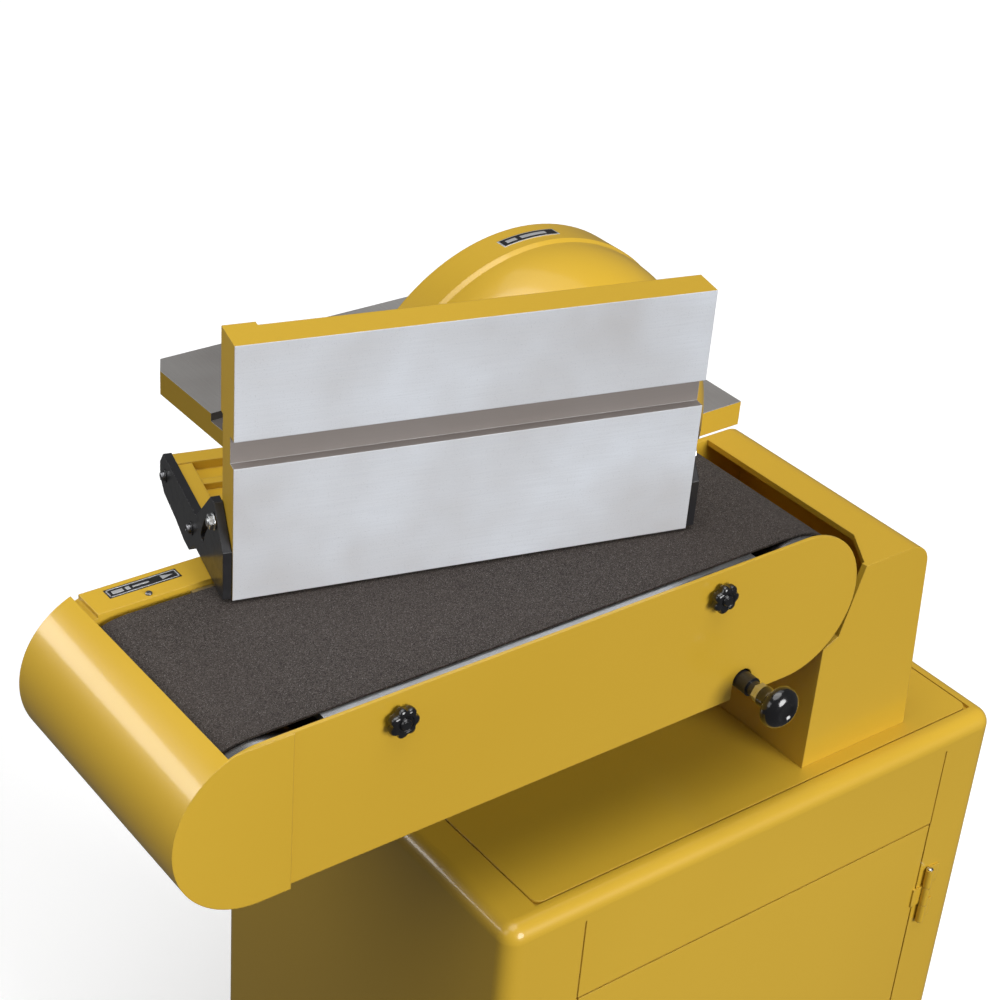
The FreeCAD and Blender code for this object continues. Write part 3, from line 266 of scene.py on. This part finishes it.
def yellow_paint():
    shader = Shader("mustard_enamel", YELLOW, 0.34, Coat_Weight=0.45, Coat_Roughness=0.10,
                    Specular_IOR_Level=0.35)
    rounded = shader.round_edges(1.2 * MM)
    shader.set("Base Color", enamel_colour(shader, shader.edge_mask(rounded, 2.2)))
    shader.set("Roughness", shader.between(shader.noise(5, 2), 0.3, 0.75, 0.30, 0.40))
    shader.set("Normal", shader.bump(enamel_height(shader), 0.035 * MM, 0.6, rounded))
    return shader.material


IRON_PALE = (0.74, 0.775, 0.835)
IRON_WARM = (0.56, 0.555, 0.565)


def ground_iron(shader, along_scale, pale, warm):
    """Surface-ground iron: fine lines along the grind, soft stains, and pores."""
    lines = shader.noise(1.0, 3, shader.stretched(along_scale))
    stain = shader.between(shader.noise(7, 3, roughness=0.6), 0.36, 0.72)
    colour = shader.mix(stain, pale, warm)
    colour = shader.mix(shader.between(lines, 0.35, 0.7, 0.0, 0.22), colour, tuple(c * 0.74 for c in pale))
    speck = shader.between(shader.noise(1500, 2), 0.60, 0.80, 0.0, 0.40)
    return shader.mix(speck, colour, tuple(c * 0.45 for c in warm)), lines


def part_machined(name, faces, grind, pale, warm, slot_colour):
    """Yellow casting whose worked faces are bare; faces(shader) gives masks of face and slot."""
    shader = Shader(name, YELLOW, 0.35, Specular_IOR_Level=0.4)
    rounded = shader.round_edges(0.8 * MM)
    edges = shader.edge_mask(rounded, 2.0)
    face, slot = faces(shader)
    bare = shader.math("MAXIMUM", face, slot)
    iron, lines = ground_iron(shader, grind, pale, warm)
    iron = shader.mix(shader.math("MULTIPLY", slot, 0.92), iron, slot_colour)
    iron = shader.mix(shader.math("MULTIPLY", edges, 0.7), iron, (0.85, 0.86, 0.88))
    shader.set("Base Color", shader.mix(bare, enamel_colour(shader, edges), iron))
    shader.set("Metallic", shader.math("MULTIPLY", bare, 0.12))
    iron_rough = shader.between(lines, 0.3, 0.7, 0.40, 0.55)
    shader.set("Roughness", shader.add("Mix", {0: bare, 2: 0.34, 3: iron_rough}).outputs[0])
    line_height = shader.math("MULTIPLY", lines, 0.25)
    height = shader.add("Mix", {0: bare, 2: enamel_height(shader), 3: line_height}).outputs[0]
    shader.set("Normal", shader.bump(height, 0.04 * MM, 0.7, rounded))
    return shader.material


def fence_iron():
    skin = 0.35 * MM
    slot_depth = 8.2 * MM
    slot_low = 98.8 * MM
    slot_high = 118.7 * MM

    def faces(shader):
        depth = shader.along(FENCE_BACK, FENCE_ORIGIN)
        height = shader.along(Vector((0, 0, 1)), FENCE_ORIGIN)
        face = shader.math("LESS_THAN", depth, skin)
        slot = shader.math("MULTIPLY", shader.math("GREATER_THAN", height, slot_low),
                           shader.math("LESS_THAN", height, slot_high))
        slot = shader.math("MULTIPLY", slot, shader.math("LESS_THAN", depth, slot_depth))
        return face, shader.math("MULTIPLY", slot, shader.math("GREATER_THAN", depth, skin))

    return part_machined("fence_iron", faces, (30, 30, 900), IRON_PALE, IRON_WARM, (0.24, 0.205, 0.185))


def table_iron():
    top_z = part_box("disc_table")[1].z
    skin = 0.35 * MM
    slot_floor = top_z - 8.2 * MM
    mitre_y = 385.0 * MM
    half_slot = 9.9 * MM

    def faces(shader):
        parts = shader.add("SeparateXYZ", {0: shader.coords}).outputs
        top = shader.math("GREATER_THAN", parts[2], top_z - skin)
        off_slot = shader.math("ABSOLUTE", shader.math("SUBTRACT", parts[1], mitre_y))
        slot = shader.math("MULTIPLY", shader.math("LESS_THAN", off_slot, half_slot),
                           shader.math("GREATER_THAN", parts[2], slot_floor))
        return top, shader.math("MULTIPLY", slot, shader.math("SUBTRACT", 1.0, top))

    return part_machined("table_iron", faces, (900, 25, 25), (0.33, 0.32, 0.31), (0.25, 0.235, 0.225),
                         (0.12, 0.105, 0.095))


def metal(name, colour, roughness, line_scale, metallic=1.0):
    """Machined or drawn metal with fine lines and faint tarnish."""
    shader = Shader(name, colour, roughness, metallic)
    rounded = shader.round_edges(0.5 * MM)
    lines = shader.noise(1.0, 3, shader.stretched(line_scale))
    tarnish = shader.between(shader.noise(30, 4), 0.4, 0.75, 0.0, 0.4)
    shader.set("Base Color", shader.mix(tarnish, colour, tuple(c * 0.62 for c in colour)))
    shader.set("Roughness", shader.between(lines, 0.25, 0.75, roughness - 0.08, roughness + 0.12))
    shader.set("Normal", shader.bump(lines, 0.03 * MM, 0.7, rounded))
    return shader.material


def turned_metal(name, colour, centre, roughness=0.28):
    """Metal turned in a lathe: rings round its own axis."""
    shader = Shader(name, colour, roughness, 1.0, Anisotropic=0.5)
    radius = shader.axis_distance(centre)
    sweep = shader.add("CombineXYZ", {0: shader.math("MULTIPLY", radius, 2600)}).outputs[0]
    rings = shader.noise(1.0, 2, sweep)
    stain = shader.between(shader.noise(22, 4), 0.4, 0.8, 0.0, 0.45)
    shader.set("Base Color", shader.mix(stain, colour, tuple(c * 0.55 for c in colour)))
    shader.set("Roughness", shader.between(rings, 0.3, 0.7, roughness - 0.08, roughness + 0.12))
    shader.set("Normal", shader.bump(rings, 0.05 * MM, 0.8, shader.round_edges(0.6 * MM)))
    return shader.material


def abrasive(name, grit_scale):
    """Grit bonded to cloth: angular grains, dark resin between them, a few bright facets."""
    shader = Shader(name, (0.05, 0.043, 0.039), 0.8, Specular_IOR_Level=0.18)
    value, distance = shader.grains(grit_scale)
    fine_value = shader.grains(grit_scale * 2.3)[0]
    colour = shader.mix(value, (0.016, 0.013, 0.012), (0.082, 0.069, 0.062))
    colour = shader.mix(shader.between(fine_value, 0.55, 0.95, 0.0, 0.40), colour, (0.110, 0.096, 0.088))
    sparkle = shader.between(fine_value, 0.955, 0.975)
    colour = shader.mix(shader.math("MULTIPLY", sparkle, 0.6), colour, (0.40, 0.37, 0.35))
    wear = shader.between(shader.noise(7, 3), 0.4, 0.75, 0.0, 0.28)
    shader.set("Base Color", shader.mix(wear, colour, (0.070, 0.056, 0.050)))
    shader.set("Roughness", shader.between(sparkle, 0.0, 1.0, 0.82, 0.45))
    height = shader.math("ADD", shader.math("MULTIPLY", value, 0.7), shader.math("MULTIPLY", fine_value, 0.3))
    height = shader.math("SUBTRACT", height, shader.math("MULTIPLY", distance, 0.6))
    shader.set("Normal", shader.bump(height, 0.16 * MM, 0.9))
    return shader.material


def rubber(name):
    shader = Shader(name, (0.018, 0.018, 0.018), 0.62, Specular_IOR_Level=0.35)
    weave = shader.noise(900, 2)
    threads = shader.between(weave, 0.4, 0.7)
    shader.set("Base Color", shader.mix(threads, (0.012, 0.012, 0.012), (0.04, 0.038, 0.036)))
    shader.set("Roughness", shader.between(weave, 0.3, 0.7, 0.55, 0.75))
    shader.set("Normal", shader.bump(weave, 0.08 * MM, 0.7))
    return shader.material


def moulded(name, colour, roughness, grain=700, coat=0.0):
    """Moulded plastic or baked paint with a faint grain and handling marks."""
    shader = Shader(name, colour, roughness, Coat_Weight=coat, Coat_Roughness=0.06)
    rounded = shader.round_edges(0.7 * MM)
    marks = shader.between(shader.noise(60, 5, roughness=0.7), 0.45, 0.75)
    paler = tuple(min(1.0, c * 1.6 + 0.004) for c in colour)
    edge = shader.math("MULTIPLY", shader.edge_mask(rounded, 1.6), 0.35)
    worn = shader.math("MAXIMUM", shader.math("MULTIPLY", marks, 0.25), edge)
    shader.set("Base Color", shader.mix(worn, colour, paler))
    shader.set("Roughness", shader.between(marks, 0.0, 1.0, roughness, min(1.0, roughness + 0.16)))
    shader.set("Normal", shader.bump(shader.noise(grain, 2), 0.03 * MM, 0.6, rounded))
    return shader.material


def make_materials():
    steel = metal("ground_steel", (0.56, 0.57, 0.58), 0.30, (40, 700, 40))
    return {
        "yellow_paint": yellow_paint(),
        "machined_iron": metal("pulley_iron", (0.30, 0.30, 0.31), 0.42, (500, 60, 500)),
        "steel": steel,
        "aluminium": turned_metal("turned_aluminium_drive", (0.72, 0.73, 0.74), SPINDLE),
        "dark_steel": metal("dark_steel", (0.20, 0.20, 0.21), 0.34, (300, 300, 300)),
        "motor_paint": moulded("motor_enamel", (0.075, 0.08, 0.085), 0.42, 300),
        "abrasive": abrasive("belt_grit", 1500),
        "belt_rubber": rubber("v_belt_rubber"),
        "black_metal": moulded("black_baked_paint", (0.016, 0.016, 0.018), 0.30, 500, 0.2),
        "black_plastic": moulded("black_phenolic", (0.008, 0.008, 0.009), 0.14, 900, 0.5),
        "grey_plastic": moulded("grey_switch_plastic", (0.17, 0.18, 0.19), 0.48),
        "green_plastic": moulded("green_button_plastic", (0.02, 0.27, 0.06), 0.25),
        "red_plastic": moulded("red_button_plastic", (0.50, 0.015, 0.012), 0.25),
        "label_silver": metal("label_silver", (0.72, 0.73, 0.74), 0.34, (60, 60, 60), 0.6),
        "label_black": moulded("label_black", (0.014, 0.014, 0.015), 0.35, 1200),
        "fence_iron": fence_iron(),
        "table_iron": table_iron(),
        "idler_aluminium": turned_metal("turned_aluminium_idler", (0.72, 0.73, 0.74), IDLER),
    }


def paint_nodes(materials):
    special = {"fence": "fence_iron", "disc_table": "table_iron", "idler_drum": "idler_aluminium"}
    for part in frame["record"]["subparts"]:
        name = part["node"]
        chosen = materials[special.get(name, part["material_slot"])]
        slots = nodes[name].material_slots
        if not slots:
            nodes[name].data.materials.append(chosen)
        for slot in nodes[name].material_slots:
            slot.link = "OBJECT"
            slot.material = chosen


# ---------------------------------------------------------------- pieces beyond the CAD nodes
def piece(name, bm, body, material, stands_for=()):
    """Turn a bmesh in millimetres into an object in the row frame that rides on a CAD body."""
    bmesh.ops.recalc_face_normals(bm, faces=bm.faces)
    bmesh.ops.scale(bm, vec=(MM, MM, MM), verts=bm.verts)
    mesh = bpy.data.meshes.new(name)
    bm.to_mesh(mesh)
    bm.free()
    mesh.polygons.foreach_set("use_smooth", [True] * len(mesh.polygons))
    mesh.set_sharp_from_angle(angle=math.radians(38))
    obj = bpy.data.objects.new(name, mesh)
    bpy.context.scene.collection.objects.link(obj)
    mesh.materials.append(material)
    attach(obj, body)
    if stands_for:
        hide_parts(*stands_for)
    return obj


def facing(place, direction, roll=0.0):
    """A frame whose Z points along direction, at a place in millimetres."""
    turn = Vector(direction).to_track_quat("Z", "Y").to_matrix().to_4x4()
    return Matrix.Translation(place) @ turn @ Matrix.Rotation(roll, 4, "Z")


def lathe(bm, profile, frame_at, segments=48, lobes=0):
    """Turn (radius, height, lobe depth) points about the frame's Z axis."""
    rings = []
    for radius, height, depth in profile:
        if radius == 0:
            rings.append([bm.verts.new(frame_at @ Vector((0, 0, height)))])
            continue
        ring = []
        for k in range(segments):
            angle = TAU * k / segments
            wave = 0.5 - 0.5 * math.cos(lobes * angle)
            r = radius * (1 - depth * wave ** 1.6)
            spot = Vector((r * math.cos(angle), r * math.sin(angle), height))
            ring.append(bm.verts.new(frame_at @ spot))
        rings.append(ring)
    for low, high in zip(rings, rings[1:]):
        for k in range(segments):
            n = (k + 1) % segments
            corners = [low[k % len(low)], low[n % len(low)], high[n % len(high)], high[k % len(high)]]
            corners = list(dict.fromkeys(corners))
            if len(corners) > 2:
                bm.faces.new(corners)


def plain(points):
    return [(r, h, 0.0) for r, h in points]


def block(bm, low, high, frame_at=Matrix.Identity(4), bevel=0.0):
    """A box between two corners, with rounded edges where bevel is given."""
    made = bmesh.ops.create_cube(bm, size=1.0)["verts"]
    low = Vector(low)
    high = Vector(high)
    size = high - low
    for vert in made:
        vert.co = Vector((vert.co[i] * size[i] + (low[i] + high[i]) / 2 for i in range(3)))
    if bevel:
        edges = list({edge for vert in made for edge in vert.link_edges})
        result = bmesh.ops.bevel(bm, geom=edges, offset=bevel, segments=3, profile=0.5, affect="EDGES")
        kept = {vert for vert in made if vert.is_valid}
        made = list(kept | {vert for face in result["faces"] for vert in face.verts})
    for vert in made:
        vert.co = frame_at @ vert.co


def button_head(bm, frame_at, r, h):
    """A round-headed screw with a hexagon socket, its seat at z = 0."""
    profile = [(0, 0), (r, 0), (r, h * 0.35), (r * 0.93, h * 0.66), (r * 0.74, h * 0.92), (r * 0.5, h),
               (r * 0.44, h), (r * 0.42, h * 0.45), (0, h * 0.40)]
    lathe(bm, plain(profile), frame_at, 24)


def hex_head(bm, frame_at, across, h):
    """A hexagon head with chamfered corners, its seat at z = 0."""
    r = across / math.sqrt(3)
    lathe(bm, plain([(0, 0), (r, 0), (r, h * 0.86), (r * 0.9, h), (0, h)]), frame_at, 6)


def washer(bm, frame_at, r, h):
    lathe(bm, plain([(0, 0), (r, 0), (r, h * 0.7), (r - 0.2, h), (0, h)]), frame_at, 32)


COVER_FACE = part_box("front_cover")[0].y / MM


def make_knobs(materials):
    black = materials["black_plastic"]
    for side in ("left", "right"):
        joint = Vector(joints[side + "_cover_knob_turn"]["pos_m"]) / MM
        bm = bmesh.new()
        out = facing((joint.x, COVER_FACE, joint.z), (0, -1, 0))
        grip = 11.3
        profile = [(0, 0.1, 0), (6, 0.1, 0), (6, 2.0, 0), (9.4, 2.3, 0.10), (grip - 0.5, 2.7, 0.16),
                   (grip, 3.6, 0.17), (grip, 6.4, 0.17), (grip - 0.4, 7.6, 0.17), (grip - 1.3, 8.5, 0.16),
                   (8.2, 9.0, 0.10), (6.4, 8.9, 0.03), (5.6, 8.0, 0), (4.6, 7.8, 0), (4.2, 9.2, 0),
                   (3.4, 10.2, 0), (0, 10.4, 0)]
        lathe(bm, profile, out, 84, 7)
        piece(side + "_cover_knob_grip", bm, side + "_cover_knob", black,
              ("cover_knob_" + side,))
    knob_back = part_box("lock_knob")[1].y / MM
    centre = Vector(joints["arm_lock_turn"]["pos_m"]) / MM
    bm = bmesh.new()
    out = facing((centre.x, knob_back, centre.z), (0, -1, 0))
    lathe(bm, plain([(5.2, 0), (8, 0), (8, 5.5), (8.8, 8), (10.5, 10), (13, 11.4), (15, 12.2), (16, 13.6),
                     (16.2, 15.8), (15.9, 18.0), (15.0, 20.2), (13.2, 22.2), (11.0, 23.7), (9.2, 24.5),
                     (7.6, 24.7), (6.4, 24.1), (5.4, 23.2), (3.6, 22.9), (0, 22.9)]), out, 64)
    piece("arm_lock_mushroom", bm, "arm_lock", black, ("lock_knob",))
    for side, sign in (("left", -1), ("right", 1)):
        low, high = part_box("table_knob_" + side)
        joint = Vector(joints[side + "_table_knob_turn"]["pos_m"]) / MM
        seat = (high.x if sign < 0 else low.x) / MM
        bm = bmesh.new()
        out = facing((seat, joint.y, joint.z), (sign, 0, 0))
        profile = [(4.2, 0, 0), (7, 0, 0), (7, 3.8, 0), (11.2, 4.2, 0.14), (12, 5.2, 0.17), (12, 10.8, 0.17),
                   (11.3, 12.2, 0.16), (9.4, 12.9, 0.1), (7, 12.8, 0), (6.2, 12.0, 0), (5.2, 15.6, 0),
                   (4.4, 16.4, 0), (0, 16.6, 0)]
        lathe(bm, profile, out, 72, 6)
        piece(side + "_table_knob_grip", bm, side + "_table_knob", black,
              ("table_knob_" + side,))


def make_fence_fixings(materials):
    """Button-headed bolts, tilt nuts and washers on the fence's end plates."""
    along = FENCE_ALONG
    black = bmesh.new()
    bright = bmesh.new()
    plate_face = FENCE_ORIGIN / MM - along * 6.5
    for behind, up in ((147.0, 12.0), (78.0, 10.0)):
        place = plate_face + FENCE_BACK * behind + Vector((0, 0, up))
        washer(black, facing(place, -along), 5.0, 0.8)
        button_head(bright, facing(place - along * 0.8, -along), 3.6, 2.8)
    piece("bracket_washers", black, "fence_base", materials["black_metal"])
    piece("bracket_screws", bright, "fence_base", materials["dark_steel"], ("bracket_bolts",))
    fixings = bmesh.new()
    angle = math.radians(TILT_STUD_ANGLE)
    stud = FENCE_BACK * TILT_STUD_R * math.cos(angle) + Vector((0, 0, TILT_STUD_R * math.sin(angle)))
    for end, out_way in ((0.0, -along), (FENCE_LENGTH, along)):
        place = FENCE_ORIGIN / MM + along * end + stud + out_way * 7.0
        out = facing(place, out_way, math.radians(10))
        washer(fixings, out, 5.8, 0.8)
        hex_head(fixings, facing(place + out_way * 0.8, out_way, math.radians(10)), 9.0, 3.0)
        washer(fixings, facing(place + out_way * 3.8, out_way), 2.8, 1.0)
    piece("fence_tilt_nuts", fixings, "fence", materials["steel"], ("fence_tilt_studs",))


def make_labels(materials):
    """A plain data plate on the arm's flange and a curved one on the guard, with no lettering."""
    left, right, front, back = -440.5, -387.5, 9.0, 19.3
    silver = bmesh.new()
    black = bmesh.new()
    block(black, (left, front, FLANGE_TOP), (right, back, FLANGE_TOP + 0.35), bevel=0.1)
    ink = FLANGE_TOP + 0.35
    for x0, x1, y0, y1 in ((left + 1, right - 1, front + 0.8, front + 1.5),
                           (left + 1, right - 1, back - 1.5, back - 0.8),
                           (left + 1, left + 1.7, front + 0.8, back - 0.8),
                           (right - 1.7, right - 1, front + 0.8, back - 0.8),
                           (left + 4, left + 12, front + 3.4, back - 3.4),
                           (left + 14, left + 17, front + 3.4, back - 3.4),
                           (left + 19, left + 31, front + 4.4, back - 4.4)):
        block(silver, (x0, y0, ink - 0.05), (x1, y1, ink + 0.1))
    tip = right - 4
    tail = right - 13
    corners = ((tail, front + 2.8), (tip, front + 5.1), (tail, front + 7.5))
    silver.faces.new([silver.verts.new(Vector((x, y, ink + 0.1))) for x, y in corners])
    piece("arm_plate_base", black, "arm", materials["label_black"])
    piece("arm_plate_marks", silver, "arm", materials["label_silver"])
    screw = bmesh.new()
    button_head(screw, facing((-416.4, 1.6, FLANGE_TOP), (0, 0, 1)), 2.4, 1.6)
    piece("flange_screw", screw, "arm", materials["dark_steel"])

    spindle = SPINDLE / MM
    layers = (("guard_plate_edge", 158.30, 158.5, 169.0, 80, 100, "label_silver"),
              ("guard_plate_base", 158.40, 159.3, 168.2, 80.5, 99.5, "label_black"),
              ("guard_plate_bar", 158.50, 161.8, 165.7, 84, 93, "label_silver"),
              ("guard_plate_mark", 158.50, 161.8, 165.7, 94.5, 98, "label_silver"))
    for name, r, y0, y1, a0, a1, tone in layers:
        bm = bmesh.new()
        steps = 16
        rows = []
        for k in range(steps + 1):
            a = math.radians(a0 + (a1 - a0) * k / steps)
            rows.append([bm.verts.new(Vector((spindle.x + rr * math.cos(a), y, spindle.z + rr * math.sin(a))))
                         for y, rr in ((y0, GUARD_BAND_R), (y0, r), (y1, r), (y1, GUARD_BAND_R))])
        for first, second in zip(rows, rows[1:]):
            for j in range(3):
                bm.faces.new([first[j], first[j + 1], second[j + 1], second[j]])
        bm.faces.new(rows[0])
        bm.faces.new(rows[-1])
        piece(name, bm, "frame", materials[tone])


def make_cabinet_trim(materials):
    """Louvre hoods, hinge pin ends, and the switch's button rings and cover screws."""
    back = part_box("cabinet_shell")[1].y / MM
    hoods = bmesh.new()
    for k in range(LOUVRES):
        z = LOUVRE_BOTTOM + LOUVRE_PITCH * k
        rows = []
        for x, reach in ((-92.0, 0.1), (-86.0, 6.0), (108.0, 6.0), (114.0, 0.1)):
            outer = [(back, z + 10.5), (back + reach * 0.55, z + 9.2), (back + reach * 0.9, z + 5.5),
                     (back + reach, z + 0.5)]
            inner = [(back + reach - 0.08 * reach, z + 0.5), (back + reach * 0.8, z + 5.0),
                     (back + reach * 0.45, z + 8.4), (back - 0.2, z + 9.6)]
            rows.append([hoods.verts.new(Vector((x, y, h))) for y, h in outer + inner])
        for first, second in zip(rows, rows[1:]):
            for j in range(len(first)):
                n = (j + 1) % len(first)
                hoods.faces.new([first[j], first[n], second[n], second[j]])
        hoods.faces.new(rows[0])
        hoods.faces.new(rows[-1])
    piece("louvre_hoods", hoods, "frame", materials["yellow_paint"])

    hinge = Vector(joints["door_swing"]["pos_m"]) / MM
    caps = bmesh.new()
    for centre in HINGE_CENTRES:
        for sign in (-1, 1):
            place = (hinge.x, hinge.y, centre + sign * HINGE_HALF_LENGTH)
            dome = plain([(0, 0), (2.6, 0), (2.6, 0.7), (1.8, 1.5), (0, 1.8)])
            lathe(caps, dome, facing(place, (0, 0, sign)), 20)
    piece("hinge_pin_ends", caps, "frame", materials["steel"])

    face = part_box("switch_box")[1].x / MM
    trim = bmesh.new()
    for ring_z, r in ((START_Z, 12.0), (STOP_Z, 15.0)):
        lathe(trim, plain([(r + 0.1, 0), (r + 3.4, 0), (r + 3.4, 1.2), (r + 2.6, 1.8), (r + 0.8, 1.8),
                           (r + 0.1, 1.2), (r + 0.1, 0)]), facing((face, SWITCH_Y, ring_z), (1, 0, 0)), 48)
    for dy in (-29.0, 29.0):
        for dz in (-48.0, 48.0):
            button_head(trim, facing((face, SWITCH_Y + dy, SWITCH_Z + dz), (1, 0, 0)), 2.6, 1.5)
    piece("switch_trim", trim, "frame", materials["steel"])


def make_drive_bolts(materials):
    """Washers on the pedestal's foot, bolts on the motor's foot, and screws round the rear bearing."""
    bm = bmesh.new()
    foot_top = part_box("pedestal")[0].z / MM + PEDESTAL_FOOT_T
    for x in (-60.0, 82.0):
        for y in (58.0, 111.0):
            washer(bm, facing((x, y, foot_top), (0, 0, 1)), 9.5, 1.2)
    for x in (-52.0, 74.0):
        for y in (-88.0, -12.0):
            washer(bm, facing((x, y, MOTOR_FOOT_TOP), (0, 0, 1)), 9.0, 1.5)
            hex_head(bm, facing((x, y, MOTOR_FOOT_TOP + 1.5), (0, 0, 1)), 13, 7)
    for k in range(4):
        a = math.radians(45 + 90 * k)
        x = SPINDLE.x / MM + BEARING_SCREW_R * math.cos(a)
        z = SPINDLE.z / MM + BEARING_SCREW_R * math.sin(a)
        button_head(bm, facing((x, BEARING_FACE_Y, z), (0, 1, 0)), 4.5, 3.4)
    piece("drive_bolts", bm, "frame", materials["dark_steel"])


# ---------------------------------------------------------------- build
place_camera()
set_light()
lay_floor()
materials = make_materials()
paint_nodes(materials)
make_knobs(materials)
make_fence_fixings(materials)
make_labels(materials)
make_cabinet_trim(materials)
make_drive_bolts(materials)
bpy.context.scene.view_settings.view_transform = "Standard"
